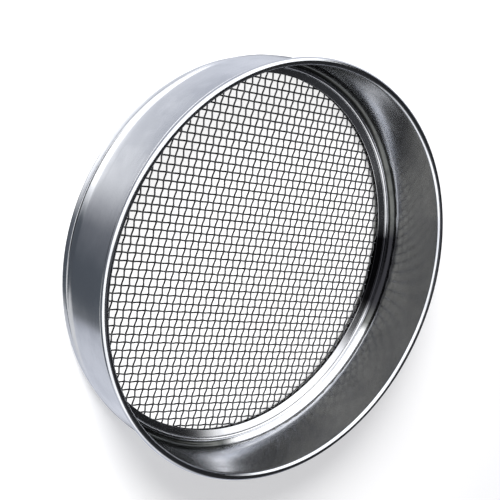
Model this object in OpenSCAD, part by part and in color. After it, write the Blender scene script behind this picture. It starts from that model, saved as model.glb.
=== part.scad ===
// Soil sieve: a round sheet-metal frame with a rolled rim, a nesting skirt and a
// plain-woven wire mesh that is clamped between two rings.
// Working pose: the sieve stands on its skirt, +Z points up through the open mouth.
// The origin is the centre of the circle that the sieve rests on.

/* [Frame] */
// Inner diameter of the frame
inner_d = 200; // [195:1:210]
// Height from the foot of the skirt to the top of the rim
total_h = 45; // [40:1:60]
// Thickness of the sheet that frame, skirt and clamp ring are made of
sheet_t = 0.8; // [0.6:0.05:0.9]
// Diameter of the rolled rim
rim_d = 3.8; // [3.4:0.1:4.6]

/* [Skirt] */
// Outer diameter of the skirt that drops into the sieve below
skirt_d = 197.6; // [197.2:0.1:198]
// Diameter of the curl at the foot of the skirt
foot_d = 3.6; // [3.2:0.1:4]

/* [Mesh] */
// Clear opening between two wires
aperture = 3.15; // [2:0.05:6.3]
// Diameter of the mesh wire
wire_d = 0.8; // [0.5:0.05:0.8]
// Height of the middle of the mesh above the foot
mesh_z = 6.3; // [6.2:0.05:6.4]
// How far the pattern of wires lies off the centre in X
mesh_shift_x = -1.4; // [-1.9:0.1:1.9]
// How far the pattern of wires lies off the centre in Y
mesh_shift_y = -0.8; // [-1.9:0.1:1.9]

/* [Clamp ring] */
// Diameter of the round bead that stands up inside the frame
bead_d = 2.6; // [2.4:0.1:2.8]
// Clear diameter of the mesh inside the clamp ring
clear_d = 183.6; // [180:0.2:186]

/* [Hidden] */

$fn = 96;
steel = [0.72, 0.73, 0.75];
bright = [0.82, 0.83, 0.85];
dark = [0.45, 0.46, 0.48];
tin = [0.60, 0.61, 0.63];

inner_r = inner_d / 2;
skirt_r = skirt_d / 2;
rim_r = rim_d / 2;
foot_r = foot_d / 2;
bead_r = bead_d / 2;
clear_r = clear_d / 2;
wire_r = wire_d / 2;
pitch = aperture + wire_d;

// The sheet's edge stops just short of the wall, which leaves a narrow slit.
slit = 0.3;

// Rim: curled outwards, flush with the wall's inner face.
rim_z = total_h - rim_r;
rim_mid_r = inner_r + rim_r;

// Foot: curled inwards, flush with the skirt's outer face, pressed flat below.
foot_flat = 0.1;
foot_z = foot_r - foot_flat;
foot_mid_r = skirt_r - foot_r;

// Frame's lower end: the wall draws in a little, then shoulders onto the skirt.
draw_top = 14;
draw_low = 8.4;
draw_in = 0.35;
lip_top = 6.3;
lip_z = 5.3;
lip_flare = 0.2;
draw_steps = 8;

// Skirt's neck: set in above its free wall, where the lip holds it.
neck_in = 0.6;
neck_r = skirt_r - neck_in;
neck_low = 4.6;
neck_high = neck_low + neck_in;

// Stack inside the frame, from the support ring up to the solder.
skirt_top = 8.6;
mesh_low = mesh_z - wire_d;
mesh_top = mesh_z + wire_d;
flange_z = skirt_top;
flange_r = inner_r - draw_in - 0.15;
leg_gap = 0.2;
leg_h = mesh_low - sheet_t - foot_z - foot_r - leg_gap;
support_r = clear_r + 0.2;
support_out_r = neck_r - sheet_t;
bead_mid_r = 96.3;
bead_z = flange_z + 0.4;
bead_throat = 0.5;
edge_t = 0.5;
cone_out_r = bead_mid_r - 1.0;
wire_end_r = support_out_r - 0.4;
solder_h = 4.2;

// Half-wave that leads the wall from its full radius to the drawn-in one.
function draw_at(u) = draw_in * (1 - cos(180 * u)) / 2;
function draw_line(offset) = [
    for (i = [0 : draw_steps])
        let (u = i / draw_steps)
        [inner_r + offset - draw_at(u), draw_top + (draw_low - draw_top) * u]
];
function back(points) = [for (i = [len(points) - 1 : -1 : 0]) points[i]];

// Half-chords of the mesh, in steps of one pitch either side of the middle.
wire_count = floor(wire_end_r / pitch);
function half_chord(x) = sqrt(wire_end_r * wire_end_r - x * x);

module ring_section(r, z, outer, inner) {
    translate([r, z])
        difference() {
            circle(outer);
            circle(inner);
        }
}

module frame_wall_section() {
    polygon(concat(
        [[inner_r, rim_z]],
        draw_line(0),
        [[neck_r, lip_top], [neck_r, lip_z], [neck_r + sheet_t, lip_z],
         [neck_r + sheet_t + lip_flare, lip_top]],
        back(draw_line(sheet_t)),
        [[inner_r + sheet_t, rim_z]]
    ));
}

module frame_section() {
    frame_wall_section();
    difference() {
        ring_section(rim_mid_r, rim_z, rim_r, rim_r - sheet_t);
        translate([inner_r + sheet_t, rim_z - rim_d])
            square([slit, rim_d]);
    }
}

module skirt_section() {
    polygon([
        [skirt_r, foot_z],
        [skirt_r, neck_low],
        [neck_r, neck_high],
        [neck_r, skirt_top],
        [neck_r - sheet_t, skirt_top],
        [neck_r - sheet_t, neck_high],
        [skirt_r - sheet_t, neck_low],
        [skirt_r - sheet_t, foot_z]
    ]);
    difference() {
        ring_section(foot_mid_r, foot_z, foot_r, foot_r - sheet_t);
        translate([skirt_r - sheet_t - slit, foot_z])
            square([slit, foot_d]);
        translate([foot_mid_r - foot_d, -foot_d])
            square([2 * foot_d, foot_d]);
    }
}

module clamp_section() {
    // Cone that presses the mesh down at its inner edge.
    polygon([
        [clear_r, mesh_top],
        [clear_r + edge_t, mesh_top],
        [cone_out_r + edge_t, flange_z - 0.1],
        [cone_out_r + edge_t, flange_z + edge_t],
        [cone_out_r - edge_t, flange_z + edge_t],
        [clear_r, mesh_top + edge_t]
    ]);
    // Bead, open below.
    difference() {
        translate([bead_mid_r, bead_z])
            circle(bead_r);
        translate([bead_mid_r - bead_throat, flange_z - bead_d])
            square([2 * bead_throat, bead_z - flange_z + bead_d + bead_r - sheet_t]);
        translate([0, flange_z - bead_d])
            square([2 * bead_mid_r, bead_d]);
    }
    // Flange that sits on the skirt's top edge.
    translate([bead_mid_r + bead_throat, flange_z])
        square([flange_r - bead_mid_r - bead_throat, sheet_t]);
}

module upper_frame() {
    color(steel)
        rotate_extrude()
            frame_section();
}

module lower_skirt() {
    color(steel)
        rotate_extrude()
            skirt_section();
}

module support_ring() {
    color(dark)
        rotate_extrude() {
            translate([support_r, mesh_low - sheet_t])
                square([support_out_r - support_r, sheet_t]);
            translate([support_out_r - sheet_t, mesh_low - sheet_t - leg_h])
                square([sheet_t, leg_h]);
        }
}

module clamp_ring() {
    color(bright)
        rotate_extrude()
            clamp_section();
}

module solder_fillet() {
    color(tin)
        rotate_extrude()
            difference() {
                translate([bead_mid_r + bead_throat, flange_z + sheet_t])
                    square([inner_r - bead_mid_r - bead_throat, solder_h]);
                translate([inner_r - solder_h, flange_z + sheet_t + solder_h])
                    circle(solder_h - 0.01);
                frame_wall_section();
                clamp_section();
            }
}

module wire_row(shift, z) {
    for (i = [-wire_count : wire_count]) {
        x = i * pitch + shift;
        if (abs(x) < wire_end_r - pitch / 2)
            translate([x, half_chord(x), z])
                rotate([90, 0, 0])
                    cylinder(h = 2 * half_chord(x), r = wire_r, $fn = 24);
    }
}

module warp_wires() {
    color(dark)
        wire_row(mesh_shift_x, mesh_z + wire_r);
}

module weft_wires() {
    color(dark)
        rotate([0, 0, 90])
            wire_row(mesh_shift_y, mesh_z - wire_r);
}

upper_frame();
lower_skirt();
support_ring();
clamp_ring();
solder_fillet();
warp_wires();
weft_wires();
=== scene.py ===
# %% [markdown]
# # A soil sieve in brushed stainless steel
# The CAD model is the fixed frame: it says where every piece is and how big it
# is. This lesson builds finer meshes in the same places, gives them metal
# finishes made of nodes, and lights them like a small product studio.

# %% Load the frame
import math

import bpy
import numpy as np
from mathutils import Matrix, Vector


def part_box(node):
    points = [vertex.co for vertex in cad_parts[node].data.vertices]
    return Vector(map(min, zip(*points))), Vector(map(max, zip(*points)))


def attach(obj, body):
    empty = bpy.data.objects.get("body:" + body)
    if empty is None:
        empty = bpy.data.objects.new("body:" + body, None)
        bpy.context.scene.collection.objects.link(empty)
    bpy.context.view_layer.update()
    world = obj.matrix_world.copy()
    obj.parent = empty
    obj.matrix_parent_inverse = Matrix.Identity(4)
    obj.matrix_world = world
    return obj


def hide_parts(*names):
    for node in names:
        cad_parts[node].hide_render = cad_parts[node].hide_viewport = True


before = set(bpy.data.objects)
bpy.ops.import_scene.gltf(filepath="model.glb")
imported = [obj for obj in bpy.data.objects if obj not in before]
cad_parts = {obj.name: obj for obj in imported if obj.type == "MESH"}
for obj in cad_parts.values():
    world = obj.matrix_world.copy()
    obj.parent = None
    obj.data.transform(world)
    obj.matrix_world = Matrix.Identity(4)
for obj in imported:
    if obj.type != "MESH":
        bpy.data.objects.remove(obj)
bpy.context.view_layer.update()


# %% [markdown]
# ## Sizes
# Most sizes come from the boxes of the CAD pieces. The few that a box cannot
# tell, such as the thickness of the sheet, are named here once, in metres.

# %% Sizes of the pieces
MM = 0.001
sheet = 0.8 * MM
rim_roll = 1.9 * MM
foot_roll = 1.8 * MM
edge = 0.12 * MM

rim_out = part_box("upper_frame")[1].x
rim_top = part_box("upper_frame")[1].z
lip_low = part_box("upper_frame")[0].z
wall_in = rim_out - 2 * rim_roll
wall_out = wall_in + sheet
skirt_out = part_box("lower_skirt")[1].x
skirt_in = skirt_out - sheet
neck_in = 0.6 * MM
neck_out = skirt_out - neck_in
skirt_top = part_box("lower_skirt")[1].z
wire_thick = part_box("warp_wires")[1].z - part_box("warp_wires")[0].z
mesh_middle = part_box("warp_wires")[0].z
print("inner radius %.1f mm, wire %.2f mm" % (wall_in / MM, wire_thick / MM))

# %% [markdown]
# ## Drawing a section
# Every ring of a sieve is spun or pressed from sheet, so each is one section
# turned about the upright axis. A section is a list of corners (radius,
# height, bend). Pressed metal has no knife edges, so each corner is rounded by
# its bend, with one extra point on both sides to keep the flats flat when the
# shading is smoothed.


# %% Rounded corners and arcs
def rounded(corners, steps=4):
    points = []
    count = len(corners)
    for i, (r, z, bend) in enumerate(corners):
        here = Vector((r, z))
        before = Vector(corners[i - 1][:2]) - here
        after = Vector(corners[(i + 1) % count][:2]) - here
        if bend <= 0:
            points.append((r, z))
            continue
        bend = min(bend, 0.3 * before.length, 0.3 * after.length)
        start = here + before.normalized() * bend
        end = here + after.normalized() * bend
        points.append(tuple(start + before.normalized() * bend * 0.4))
        for k in range(steps + 1):
            t = k / steps
            spot = start * (1 - t) ** 2 + here * 2 * t * (1 - t) + end * t * t
            points.append(tuple(spot))
        points.append(tuple(end + after.normalized() * bend * 0.4))
    return points


def arc(r, z, radius, first, last, steps):
    turns = [math.radians(first + (last - first) * k / steps) for k in range(steps + 1)]
    return [(r + radius * math.cos(a), z + radius * math.sin(a), 0) for a in turns]


# %% [markdown]
# Spinning leaves the sheet very slightly out of true. A few slow waves around
# the ring, a few hundredths of a millimetre high, bend the reflections as real
# sheet does. The waves are whole numbers round the ring, so they join up.

# %% Slow waves round a ring
ring_steps = 360
dice = np.random.RandomState(7)
wave_count = 14
wave_turns = dice.randint(2, 26, wave_count)
wave_starts = dice.uniform(0, 2 * math.pi, wave_count)
wave_climb = dice.uniform(-120, 120, wave_count)


def slow_wave(angle, height):
    total = np.zeros_like(angle)
    for turns, start, climb in zip(wave_turns, wave_starts, wave_climb):
        total += np.sin(turns * angle + start + climb * height) / turns
    return total


# %% [markdown]
# ## Turning a section into a ring
# The Screw modifier could turn a section too. Working the points out directly
# gives the same mesh and lets the waves move each point before it is placed.


# %% Ring maker
def clean_mesh(name, points, faces):
    mesh = bpy.data.meshes.new(name)
    mesh.from_pydata(points, [], faces)
    mesh.update()
    mesh.polygons.foreach_set("use_smooth", [True] * len(mesh.polygons))
    piece = bpy.data.objects.new(name, mesh)
    bpy.context.scene.collection.objects.link(piece)
    print("%s: %d faces" % (name, len(mesh.polygons)))
    return piece


def turned_ring(name, section, push=None):
    section = np.array(section)
    angle = np.linspace(0, 2 * math.pi, ring_steps, endpoint=False)
    turn, r = np.meshgrid(angle, section[:, 0], indexing="ij")
    z = np.meshgrid(angle, section[:, 1], indexing="ij")[1]
    if push is not None:
        r, z = push(turn, r, z)
    points = np.stack([r * np.cos(turn), r * np.sin(turn), z], -1).reshape(-1, 3)
    count = len(section)
    i, k = np.meshgrid(np.arange(ring_steps), np.arange(count), indexing="ij")
    nxt, up = (i + 1) % ring_steps, (k + 1) % count
    faces = np.stack([i * count + k, nxt * count + k, nxt * count + up, i * count + up], -1)
    return clean_mesh(name, points.tolist(), faces.reshape(-1, 4).tolist())


def middle_area(section):
    total = 0
    for (r0, z0), (r1, z1) in zip(section, section[1:] + section[:1]):
        total += r0 * z1 - r1 * z0
    return total / 2


def facing_out(section):
    return section if middle_area(section) > 0 else section[::-1]


# %% [markdown]
# ## Drum frame
# The drum is a strip of sheet spun to a ring. Its top edge is rolled outwards
# into a hollow bead, which makes it stiff and safe to hold. Near its lower end
# the wall draws in a little, then shoulders in to a lip that grips the skirt.
# One closed section follows the sheet up the inside, round the roll and back
# down.

# %% Drum frame
draw_high = 14 * MM
draw_low = 8.4 * MM
draw_in = 0.35 * MM
lip_high = 6.3 * MM
lip_flare = 0.2 * MM
draw_steps = 10
wall_steps = 10
lip_bend = 0.3 * MM
shoulder_bend = 0.9 * MM
roll_r = wall_in + rim_roll
roll_z = rim_top - rim_roll
roll_start, roll_end = 180, -115


def drawn_line(offset):
    line = []
    for k in range(draw_steps + 1):
        u = k / draw_steps
        inset = draw_in * (1 - math.cos(math.pi * u)) / 2
        line.append((wall_in + offset - inset, draw_high + (draw_low - draw_high) * u, 0))
    return line


def straight(r, low, high):
    return [(r, low + (high - low) * k / wall_steps, 0) for k in range(1, wall_steps)]


inside = straight(wall_in, roll_z, draw_high) + drawn_line(0)
lip = [
    (neck_out, lip_high, lip_bend),
    (neck_out, lip_low, edge),
    (neck_out + sheet, lip_low, edge),
    (neck_out + sheet + lip_flare, lip_high, shoulder_bend),
]
outside = drawn_line(sheet)[::-1] + straight(wall_out, draw_high, roll_z)
roll_back = arc(roll_r, roll_z, rim_roll - sheet, roll_start, roll_end, 30)
roll_front = arc(roll_r, roll_z, rim_roll, roll_end, roll_start, 40)
drum_section = rounded(inside + lip + outside + roll_back + roll_front)

wave_height = 0.045 * MM
wavy_low, wavy_high = draw_high, rim_top - 3 * rim_roll


def wall_waves(turn, r, z):
    middle = (wavy_low + wavy_high) / 2
    reach = (wavy_high - wavy_low) / 2
    share = np.clip(1.35 - np.abs(z - middle) / reach, 0, 1)
    share = share * share * (3 - 2 * share)
    return r + wave_height * share * slow_wave(turn, z), z


drum = turned_ring("drum_frame", facing_out(drum_section), wall_waves)
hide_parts("upper_frame")

# %% [markdown]
# ## Skirt
# The skirt drops into the next sieve of a stack. Its foot is curled inwards
# and pressed flat below, so that it stands level. Its upper end steps in to a
# narrower neck, which the drum's lip grips.

# %% Skirt with its curled foot
foot_flat = 0.1 * MM
foot_r = skirt_out - foot_roll
foot_z = foot_roll - foot_flat
foot_end = 67
curl_out = arc(foot_r, foot_z, foot_roll, 0, -360 + foot_end, 44)
curl_out = [(r, max(z, 0.0), bend) for r, z, bend in curl_out]
curl_in = arc(foot_r, foot_z, foot_roll - sheet, -360 + foot_end, 0, 34)
neck_low = 4.6 * MM
neck_bend = 0.3 * MM
skirt_edge = [
    (skirt_in, neck_low, neck_bend),
    (neck_out - sheet, neck_low + neck_in, neck_bend),
    (neck_out - sheet, skirt_top, edge),
    (neck_out, skirt_top, edge),
    (neck_out, neck_low + neck_in, neck_bend),
    (skirt_out, neck_low, neck_bend),
]
skirt_section = rounded(curl_out + curl_in + skirt_edge)
skirt = turned_ring("skirt", facing_out(skirt_section))
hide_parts("lower_skirt")

# %% [markdown]
# ## Support ring and clamp ring
# The mesh lies on a flat ring with a short leg. A second ring, pressed in one
# piece from a cone, a round bead and a flange, holds it down. The bead is open
# below, as pressed sheet is.

# %% Support ring
support_low, support_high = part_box("support_ring")
support_in = 92.0 * MM
leg_top = support_high.z - sheet
support_section = rounded([
    (support_in, leg_top, edge),
    (support_in, support_high.z, edge),
    (support_high.x, support_high.z, edge),
    (support_high.x, support_low.z, edge),
    (support_high.x - sheet, support_low.z, edge),
    (support_high.x - sheet, leg_top, edge),
])
support = turned_ring("support_ring_sheet", facing_out(support_section))
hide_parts("support_ring")

# %% Clamp ring with its bead
clamp_low, clamp_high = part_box("clamp_ring")
clear_r = 91.8 * MM
bead_r = 96.3 * MM
bead_z = 9.0 * MM
bead_roll = 1.3 * MM
throat = 0.5 * MM
flange_low = 8.6 * MM
cone_edge = 0.5 * MM
cone_out = 1.5 * MM
cone_drop = 0.1 * MM
throat_top = flange_low + 0.9 * MM
bead_over = arc(bead_r, bead_z, bead_roll, 18, 175, 22)
clamp_section = rounded([
    (clear_r, clamp_low.z, edge),
    (clear_r + cone_edge, clamp_low.z, 0),
    (bead_r - throat, flange_low - cone_drop, 0),
    (bead_r - throat, throat_top, 0),
    (bead_r + throat, throat_top, 0),
    (bead_r + throat, flange_low, 0),
    (clamp_high.x, flange_low, edge),
    (clamp_high.x, flange_low + sheet, edge),
] + bead_over + [
    (bead_r - cone_out, flange_low + cone_edge, edge),
    (clear_r, clamp_low.z + cone_edge, edge),
])
clamp = turned_ring("clamp_ring_pressing", facing_out(clamp_section))
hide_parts("clamp_ring")

# %% [markdown]
# ## Solder
# Molten solder is drawn into the corner between the clamp ring and the wall,
# and sets as a hollow curve. A hand-run seam is never even, so its edge climbs
# and falls a little round the ring.

# %% Solder fillet
fillet_radius = 4.2 * MM
fillet_r = wall_in - fillet_radius
fillet_z = flange_low + sheet + fillet_radius
fillet_start = -68
fillet_skin = fillet_radius - 0.01 * MM
hollow = arc(fillet_r, fillet_z, fillet_skin, fillet_start, 0, 18)
fillet_section = rounded([
    (bead_r + bead_roll * 0.8, flange_low + sheet, 0),
    (wall_in - draw_in, flange_low + sheet, 0),
    (wall_in, fillet_z, 0),
] + hollow[::-1])
seam_height = 0.28 * MM
seam_waves = 16
seam_turns = dice.randint(9, 60, seam_waves)
seam_starts = dice.uniform(0, 2 * math.pi, seam_waves)


def uneven_seam(turn, r, z):
    ripple = np.zeros_like(turn)
    for turns, start in zip(seam_turns, seam_starts):
        ripple += np.sin(turns * turn + start) / 4
    rise = np.clip((z - flange_low - sheet) / fillet_radius, 0, 1)
    drop = seam_height * np.abs(ripple) * rise ** 1.5
    return r, z - drop


solder = turned_ring("solder_seam", facing_out(fillet_section), uneven_seam)
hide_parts("solder_fillet")

# %% [markdown]
# ## Woven mesh
# In a plain weave every wire goes over one cross wire and under the next, and
# the wires of both directions are crimped alike. The middle of each wire is a
# cosine of half a wave per opening. Neighbours run in opposite step. Each wire
# also sits a few hundredths of a millimetre off its place.

# %% Woven wires
pitch = 3.95 * MM
wire_r = wire_thick / 2
mesh_reach = 97.0 * MM
warp_shift = -1.4 * MM
weft_shift = -0.8 * MM
wire_sides = 8
steps_per_opening = 6
wire_number = int(mesh_reach / pitch)
loose = 0.07 * MM


def woven_row(name, shift, cross_shift, first_side, turned):
    points, faces = [], []
    for i in range(-wire_number, wire_number + 1):
        x = i * pitch + shift
        if abs(x) >= mesh_reach - pitch / 2:
            continue
        half = math.sqrt(mesh_reach ** 2 - x * x)
        count = int(2 * half / pitch * steps_per_opening)
        y = np.linspace(-half, half, count)
        step = first_side * (-1) ** i * math.pi / pitch
        phase = (y - cross_shift) * math.pi / pitch
        z = mesh_middle + first_side * (-1) ** i * wire_r * np.cos(phase)
        slope = -step * wire_r * np.sin(phase)
        drift = dice.uniform(-loose, loose) + dice.uniform(-loose, loose) * (y / mesh_reach) ** 2
        side = np.linspace(0, 2 * math.pi, wire_sides, endpoint=False)
        out, over = np.cos(side)[None, :] * wire_r, np.sin(side)[None, :] * wire_r
        tilt = 1 / np.sqrt(1 + slope ** 2)
        px = (x + drift)[:, None] + out
        py = y[:, None] - over * (slope * tilt)[:, None]
        pz = z[:, None] + over * tilt[:, None]
        start = len(points)
        tube = np.stack([-py, px, pz] if turned else [px, py, pz], -1)
        points.extend(tube.reshape(-1, 3).tolist())
        for k in range(count - 1):
            for s in range(wire_sides):
                t = (s + 1) % wire_sides
                a, b = start + k * wire_sides, start + (k + 1) * wire_sides
                faces.append((a + s, a + t, b + t, b + s)[::-1])
        last = start + (count - 1) * wire_sides
        faces.append(tuple(start + s for s in range(wire_sides)))
        faces.append(tuple(last + s for s in range(wire_sides))[::-1])
    return clean_mesh(name, points, faces)


warp = woven_row("warp_wires_woven", warp_shift, weft_shift, 1, False)
weft = woven_row("weft_wires_woven", weft_shift, -warp_shift, -1, True)
for wires, node in ((warp, "warp_wires"), (weft, "weft_wires")):
    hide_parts(node)

# %% [markdown]
# ## Shader maths that reads like maths
# A material is a graph of nodes. This small class wraps one output, so that
# `1 - mask` or `grain * 0.2` adds the Math node itself, and one method adds
# any other node with its settings and its values or links.


# %% Shader maths
class Flow:
    """One output of a shader node."""

    def __init__(self, graph, socket):
        self.graph = graph
        self.socket = socket

    def maths(self, operation, *values):
        sockets = dict(enumerate(values))
        return self.graph.node("Math", {"operation": operation}, sockets)

    def __add__(self, other):
        return self.maths("ADD", self, other)

    def __radd__(self, other):
        return self.maths("ADD", other, self)

    def __sub__(self, other):
        return self.maths("SUBTRACT", self, other)

    def __rsub__(self, other):
        return self.maths("SUBTRACT", other, self)

    def __mul__(self, other):
        return self.maths("MULTIPLY", self, other)

    def __rmul__(self, other):
        return self.maths("MULTIPLY", other, self)

    def __truediv__(self, other):
        return self.maths("DIVIDE", self, other)

    def __rtruediv__(self, other):
        return self.maths("DIVIDE", other, self)


class Graph:
    """The node tree of a material or of the world."""

    def __init__(self, tree):
        self.tree = tree
        tree.nodes.clear()

    def node(self, kind, settings=None, sockets=None, out=0):
        made = self.tree.nodes.new("ShaderNode" + kind)
        for name, value in (settings or {}).items():
            if name == "stops":
                self.set_stops(made.color_ramp, value)
            else:
                setattr(made, name, value)
        for name, value in (sockets or {}).items():
            if isinstance(value, Flow):
                self.tree.links.new(value.socket, made.inputs[name])
            else:
                made.inputs[name].default_value = value
        return Flow(self, made.outputs[out]) if made.outputs else made

    def set_stops(self, ramp, stops):
        for spare in list(ramp.elements)[1:]:
            ramp.elements.remove(spare)
        for place, colour in stops[1:]:
            ramp.elements.new(place).color = tuple(colour) + (1,)
        ramp.elements[0].position = stops[0][0]
        ramp.elements[0].color = tuple(stops[0][1]) + (1,)

    def place(self):
        return self.node("TexCoord", out="Object")

    def stretched(self, scale):
        return self.node("Mapping", None, {"Vector": self.place(), "Scale": scale})

    def noise(self, vector, scale, detail=2.0, roughness=0.5):
        sockets = {"Vector": vector, "Scale": scale, "Detail": detail, "Roughness": roughness}
        return self.node("TexNoise", None, sockets)

    def between(self, value, low, high):
        sockets = {"Value": value, "From Min": low, "From Max": high}
        return self.node("MapRange", {"interpolation_type": "SMOOTHSTEP"}, sockets)

    def mixed(self, mask, first, second):
        return self.node("Mix", {"data_type": "RGBA"}, {0: mask, 6: first, 7: second}, out=2)

    def round_the_ring(self, stops, tint=(1.0, 1.0, 1.0)):
        parts = self.node("SeparateXYZ", None, {0: self.place()}).socket.node
        x, y = (Flow(self, parts.outputs[k]) for k in range(2))
        turn = y.maths("ARCTAN2", y, x) / (2 * math.pi) + 0.5
        stops = [((angle + 180) / 360, [tone * c for c in tint]) for angle, tone in stops]
        return self.node("ValToRGB", {"stops": stops}, {0: turn})

    def bump(self, height, strength, distance, before=None):
        sockets = {"Height": height, "Strength": strength, "Distance": distance}
        if before is not None:
            sockets["Normal"] = before
        return self.node("Bump", None, sockets)


def finish_of(name):
    material = bpy.data.materials.new(name)
    material.use_nodes = True
    return material, Graph(material.node_tree)


def wear(piece, material):
    piece.data.materials.clear()
    piece.data.materials.append(material)
    print("%s wears %s" % (piece.name, material.name))


# %% [markdown]
# ## Spun sheet
# The drum was polished as it span, so its grain runs round the ring: very long
# along the circle and very short up the wall. Noise that is squeezed upright
# gives that grain. The shine is smeared across the grain, which is what
# Anisotropic does, with a quarter turn because the grain follows the circle.
# Handling leaves soft greasy patches and a few fine scratches. One arc of the
# clamp ring is painted black, a painted dark reflection.


# %% Brushed steel
# Painted dark reflection: one arc round the ring, 72 to 106 degrees from +X, is painted black on
# the clamp ring and the solder.
PAINTED_REFLECTION_BLACK = (0.03, 0.03, 0.035, 1)
painted_dark_reflection = [(-180, 0), (72, 0), (78, 1), (100, 1), (106, 0)]


def brushed_steel(name, shade, tint, rough, smear, grain_depth, painted_dark_arc=None):
    material, g = finish_of(name)
    grain = g.noise(g.stretched((90, 90, 6500)), 1.0, 3.0, 0.6)
    lines = g.noise(g.stretched((35, 35, 2300)), 1.0, 2.0, 0.5)
    patches = g.noise(g.place(), 38.0, 3.0, 0.55)
    smudges = g.between(g.noise(g.stretched((60, 60, 95)), 1.0, 3.0, 0.5), 0.52, 0.74)
    scratches = g.between(g.noise(g.stretched((70, 70, 1500)), 1.0, 0.0, 0.0), 0.76, 0.80)
    pale = tuple(c * 1.03 for c in shade) + (1,)
    deep = tuple(c * 0.88 for c in tint) + (1,)
    worn = tuple(c * 0.78 for c in tint) + (1,)
    colour = g.mixed(g.between(patches, 0.35, 0.65), pale, deep)
    colour = g.mixed(smudges * 0.20, colour, worn)
    colour = g.mixed(g.between(lines, 0.50, 0.75) * 0.25, colour, worn)
    # When given, one arc is painted black, a painted dark reflection.
    if painted_dark_arc:
        colour = g.mixed(g.round_the_ring(painted_dark_arc), colour, PAINTED_REFLECTION_BLACK)
    roughness = rough + (grain - 0.5) * 0.05 + smudges * 0.03 + scratches * 0.03
    normal = g.bump(grain, 0.12, grain_depth)
    normal = g.bump(lines, 0.12, grain_depth * 2, normal)
    normal = g.bump(scratches, 0.06, grain_depth * 2, normal)
    surface = g.node("BsdfPrincipled", None, {
        "Base Color": colour, "Metallic": 1.0, "Roughness": roughness,
        "Anisotropic": smear, "Anisotropic Rotation": 0.25, "Normal": normal,
    })
    g.node("OutputMaterial", None, {"Surface": surface})
    return material


sheet_pale, sheet_cool = (0.74, 0.755, 0.79), (0.70, 0.72, 0.77)
ring_pale, ring_cool = (0.74, 0.745, 0.76), (0.68, 0.69, 0.72)
sheet_finish = brushed_steel("spun_steel", sheet_pale, sheet_cool, 0.15, 0.5, 0.001 * MM)
ring_finish = brushed_steel(
    "pressed_steel", ring_pale, ring_cool, 0.12, 0.3, 0.0004 * MM, painted_dark_reflection
)
for piece in (drum, skirt):
    wear(piece, sheet_finish)
for piece in (support, clamp):
    wear(piece, ring_finish)


# %% [markdown]
# ## Solder
# Tin solder is soft and silvery, with shallow ripples where it froze and a
# duller bloom here and there. Most of the seam is painted dark, with one bright
# stretch, as a painted reflection, and one more arc is painted black, a painted
# dark reflection.


# %% Solder finish
# Painted reflection on the seam: painted dark round the ring except one bright stretch, 12 to 68
# degrees from +X.
painted_seam_reflection = [(-180, 1), (6, 1), (12, 0), (68, 0), (71, 1)]


def solder_finish():
    material, g = finish_of("tin_solder")
    ripple = g.noise(g.place(), 420.0, 3.0, 0.6)
    bloom = g.between(g.noise(g.place(), 120.0, 4.0, 0.6), 0.45, 0.7)
    colour = g.mixed(bloom, (0.86, 0.87, 0.89, 1), (0.76, 0.77, 0.78, 1))
    # Painted dark reflection colour for the seam.
    painted_dark_seam = g.mixed(bloom, (0.12, 0.125, 0.12, 1), (0.08, 0.085, 0.085, 1))
    colour = g.mixed(g.round_the_ring(painted_seam_reflection), colour, painted_dark_seam)
    # The same painted dark reflection arc as on the clamp ring.
    colour = g.mixed(g.round_the_ring(painted_dark_reflection), colour, PAINTED_REFLECTION_BLACK)
    surface = g.node("BsdfPrincipled", None, {
        "Base Color": colour, "Metallic": 1.0, "Roughness": 0.18 + bloom * 0.1,
        "Normal": g.bump(ripple, 0.3, 0.01 * MM),
    })
    g.node("OutputMaterial", None, {"Surface": surface})
    return material


wear(solder, solder_finish())


# %% [markdown]
# ## Mesh wire
# Fine die lines run along drawn wire, and grime darkens it at random. Its base
# colour is painted far darker than steel, as painted shade, and the tops of the
# crimps are painted lighter, a painted highlight. Height alone tells a crimp top
# here, because only the top of a crimp reaches it.


# %% Wire finish
def wire_finish():
    material, g = finish_of("drawn_wire")
    height = g.node("SeparateXYZ", None, {0: g.place()}, out=2)
    top = mesh_middle + 2 * wire_r
    # Painted highlight: the tops of the crimps are painted lighter.
    painted_crimp_highlight = g.between(height, top - 0.35 * wire_r, top)
    grime = g.noise(g.place(), 260.0, 3.0, 0.6)
    lines = g.noise(g.place(), 2600.0, 2.0, 0.6)
    # Painted shade: the wire's base colour is painted far darker than steel; grime darkens it
    # more at random.
    wire_painted_dark, grimy_wire_painted_dark = (0.11, 0.112, 0.118, 1), (0.065, 0.067, 0.071, 1)
    colour = g.mixed(g.between(grime, 0.4, 0.65), wire_painted_dark, grimy_wire_painted_dark)
    colour = g.mixed(painted_crimp_highlight * 0.6, colour, (0.36, 0.365, 0.38, 1))
    surface = g.node("BsdfPrincipled", None, {
        "Base Color": colour, "Metallic": 1.0,
        "Roughness": 0.20 + grime * 0.12 - painted_crimp_highlight * 0.05,
        "Normal": g.bump(lines, 0.3, 0.01 * MM),
    })
    g.node("OutputMaterial", None, {"Surface": surface})
    return material


wire_metal = wire_finish()
wear(warp, wire_metal)
wear(weft, wire_metal)

# %% [markdown]
# ## Everything is one body
# Nothing on a sieve moves, so every piece rides on the root body.

# %% Ride
for piece in (drum, skirt, support, clamp, solder, warp, weft):
    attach(piece, "root")
    print(piece.name, "rides on root")

# %% [markdown]
# ## Camera
# The camera looks down into the sieve, turned on its side as the object is
# shown. Its place is an angle round the sieve, an angle above the floor and a
# distance, then a roll about its own line of sight.

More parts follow.
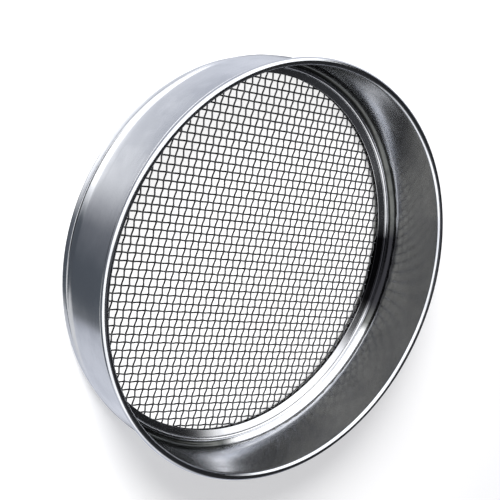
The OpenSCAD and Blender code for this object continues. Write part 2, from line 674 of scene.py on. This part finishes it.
# %% Camera
aim = Vector((-4.09 * MM, 1.03 * MM, 10 * MM))
look_round = math.radians(-13.502)
look_down = math.radians(48.755)
look_roll = math.radians(112.367)
look_far = 593.7 * MM
focal_length = 85.94
sensor = 36
back = Vector((
    math.sin(look_round) * math.cos(look_down),
    -math.cos(look_round) * math.cos(look_down),
    math.sin(look_down),
))
level = Vector((0, 0, 1)).cross(back).normalized()
upward = back.cross(level)
right = level * math.cos(look_roll) + upward * math.sin(look_roll)
top = upward * math.cos(look_roll) - level * math.sin(look_roll)
lens = bpy.data.cameras.new("camera")
lens.lens = focal_length
lens.sensor_width = sensor
camera = bpy.data.objects.new("camera", lens)
turn = Matrix((right, top, back)).transposed().to_4x4()
camera.matrix_world = Matrix.Translation(aim + back * look_far) @ turn
bpy.context.scene.collection.objects.link(camera)
bpy.context.scene.camera = camera
print("camera at", [round(v / MM) for v in camera.matrix_world.translation], "mm")

# %% [markdown]
# ## Floor
# A plain white sweep. It glows a little by itself, so that shadows stay soft
# and pale, more so behind the mesh and far away, where the lamp is weak. It
# hides from mirror rays: the metal then shows the studio around it instead of
# the floor beside it.


# %% Floor
floor_r = 6.0
far_start, far_end = 0.5, 2.5
mesh_fade = 6 * MM


def floor_finish():
    material, g = finish_of("white_sweep")
    grain = g.noise(g.place(), 22.0, 3.0, 0.5)
    colour = g.mixed(grain, (0.80, 0.80, 0.81, 1), (0.84, 0.84, 0.84, 1))
    spot = g.node("VectorMath", {"operation": "LENGTH"}, {0: g.place()}, out=1)
    within = g.between(spot, skirt_in, skirt_in - mesh_fade)
    far = g.between(spot, far_start, far_end)
    glow = g.mixed(far, (0.30, 0.30, 0.31, 1), (0.66, 0.66, 0.66, 1))
    glow = g.mixed(within, glow, (0.80, 0.80, 0.80, 1))
    surface = g.node("BsdfPrincipled", None, {
        "Base Color": colour, "Roughness": 0.95, "Specular IOR Level": 0.0,
        "Emission Color": glow, "Emission Strength": 1.0,
    })
    g.node("OutputMaterial", None, {"Surface": surface})
    return material


def plate(name, radius, height, steps=96):
    points = [(0, 0, height)]
    for k in range(steps):
        a = 2 * math.pi * k / steps
        points.append((radius * math.cos(a), radius * math.sin(a), height))
    faces = [(0, 1 + k, 1 + (k + 1) % steps) for k in range(steps)]
    piece = clean_mesh(name, points, faces)
    return piece


floor = plate("floor", floor_r, 0.0)
wear(floor, floor_finish())
floor.visible_glossy = False

# %% [markdown]
# The inside of the drum mirrors what lies under the sieve. A dark card there,
# seen by mirror rays only, keeps the inside deep and lets the rim stand out.
# Its tone changes round the ring, and so does the wall's. Each stop is an angle
# in degrees, counted from +X towards +Y, and a tone.


# %% Dark card
WARM = (1.0, 0.98, 0.90)
card_tones = [
    (-180, 0.015), (-10, 0.015), (12, 0.03), (34, 0.07), (56, 0.26), (80, 0.21),
    (98, 0.26), (110, 0.20), (120, 0.03),
]
card_drop = 0.5 * MM


def card_finish():
    material, g = finish_of("dark_card")
    spread = g.noise(g.place(), 14.0, 2.0, 0.5)
    tone = g.round_the_ring(card_tones, WARM)
    tone = g.mixed(g.between(spread, 0.3, 0.7) * 0.15, tone, (0.07, 0.07, 0.07, 1))
    glow = g.node("Emission", None, {"Color": tone, "Strength": 1.0})
    g.node("OutputMaterial", None, {"Surface": glow})
    return material


card = plate("dark_card", skirt_in, -card_drop)
wear(card, card_finish())
card.visible_camera = False
card.visible_diffuse = False
card.visible_shadow = False
card.visible_transmission = False

# %% [markdown]
# ## Studio
# Polished metal is a mirror, so it is lit by what stands around it. Five rings
# of panels do that here, one above the other. The camera looks down, so the
# upright wall mirrors the low ring, which is under the horizon. The steep ring
# below it shows where the sheet leans in, and the three rings above it show in
# the roll, the bead, the solder and the cone. Straight up and straight down are
# dark. Each stop is an angle round the sieve, counted from the camera's side, a
# brightness and a tint. Only mirror rays see these panels.

# %% Studio panels
turn_zero = math.atan2(back.y, back.x)


def panels(stops):
    return [((angle + 180) / 360, (v * r, v * g, v * b)) for angle, v, (r, g, b) in stops]


WHITE = (1.0, 1.0, 1.0)
COOL = (0.93, 0.96, 1.05)
SLATE = (0.88, 0.98, 1.12)
low_panels = panels([
    (-180, 0.05, COOL), (-158, 0.08, COOL), (-146, 0.75, COOL), (-134, 0.85, COOL),
    (-69, 0.66, COOL), (-40, 0.56, COOL), (-12, 0.42, COOL), (12, 0.26, COOL),
    (40, 0.13, SLATE), (74, 0.12, SLATE), (76, 0.66, COOL), (134, 0.80, COOL),
    (146, 0.70, COOL), (158, 0.08, COOL),
])
steep_panels = panels([
    (-180, 0.05, WHITE), (-160, 0.10, WHITE), (-150, 1.9, WHITE), (-14, 1.9, WHITE),
    (18, 0.12, SLATE), (68, 0.10, SLATE), (77, 0.80, WHITE), (150, 0.80, WHITE),
    (160, 0.08, WHITE),
])
high_panels = panels([
    (-180, 0.02, COOL), (-122, 0.02, COOL), (-114, 1.9, WHITE), (0, 1.9, WHITE),
    (8, 1.5, WHITE), (98, 1.3, WHITE), (128, 0.6, WHITE), (136, 0.03, COOL),
])
upper_panels = panels([
    (-180, 0.02, COOL), (-136, 0.02, COOL), (-128, 1.9, WHITE), (0, 1.9, WHITE),
    (8, 1.5, WHITE), (98, 1.5, WHITE), (110, 0.08, COOL), (160, 0.02, COOL),
])
top_panels = panels([
    (-180, 0.03, COOL), (-142, 0.03, COOL), (-135, 1.9, WHITE), (20, 1.5, WHITE),
    (40, 0.06, COOL), (112, 0.04, COOL), (150, 0.12, COOL),
])

# %% Studio light by direction
UNLIT = (0.03, 0.03, 0.03, 1)
world = bpy.data.worlds.new("studio")
bpy.context.scene.world = world
world.use_nodes = True
g = Graph(world.node_tree)
parts = g.node("SeparateXYZ", None, {0: g.node("TexCoord", out="Generated")}).socket.node
x, y, z = (Flow(g, parts.outputs[k]) for k in range(3))
along = x * math.cos(turn_zero) + y * math.sin(turn_zero)
across = y * math.cos(turn_zero) - x * math.sin(turn_zero)
angle = across.maths("ARCTAN2", across, along) / (2 * math.pi) + 0.5
low, steep, high, upper, top_ring = (
    g.node("ValToRGB", {"stops": stops}, {0: angle})
    for stops in (low_panels, steep_panels, high_panels, upper_panels, top_panels)
)


def above(degrees, soft):
    low_edge = math.sin(math.radians(degrees - soft))
    high_edge = math.sin(math.radians(degrees + soft))
    return g.between(z, low_edge, high_edge)


colour = g.mixed(above(-76, 3), UNLIT, steep)
colour = g.mixed(above(-57.5, 1.0), colour, low)
colour = g.mixed(above(3, 4), colour, high)
colour = g.mixed(above(31, 2), colour, upper)
colour = g.mixed(above(58, 2), colour, top_ring)
colour = g.mixed(above(80, 2), colour, UNLIT)
mirror = g.node("Background", None, {"Color": colour, "Strength": 1.0})
soft = g.node("Background", None, {"Color": (1, 1, 1, 1), "Strength": 0.40})
sky = g.node("Background", None, {"Color": (1, 1, 1, 1), "Strength": 1.1})
seen_in_metal = g.node("LightPath", out="Is Glossy Ray")
seen_direct = g.node("LightPath", out="Is Camera Ray")
lit = g.node("MixShader", None, {0: seen_in_metal, 1: soft, 2: mirror})
shown = g.node("MixShader", None, {0: seen_direct, 1: lit, 2: sky})
g.node("OutputWorld", None, {"Surface": shown})
print("studio of 5 rings, from %.1f degrees" % math.degrees(turn_zero))

# %% [markdown]
# One large soft lamp from the side gives the pale shadow beside the sieve.

# %% Lamp
lamp = bpy.data.lights.new("soft_lamp", "AREA")
lamp.shape = "DISK"
lamp.size = 0.45
lamp.energy = 16.5
lamp_object = bpy.data.objects.new("soft_lamp", lamp)
lamp_turn = math.radians(-136)
lamp_rise = math.radians(36)
lamp_far = 1.1
lamp_way = Vector((
    math.cos(lamp_turn) * math.cos(lamp_rise),
    math.sin(lamp_turn) * math.cos(lamp_rise),
    math.sin(lamp_rise),
))
lamp_object.location = lamp_way * lamp_far
lamp_object.rotation_euler = lamp_way.to_track_quat("Z", "Y").to_euler()
lamp_object.visible_glossy = False
bpy.context.scene.collection.objects.link(lamp_object)
bpy.context.scene.view_settings.view_transform = "Standard"
print("lamp of %.1f W, %.2f m away" % (lamp.energy, lamp_far))
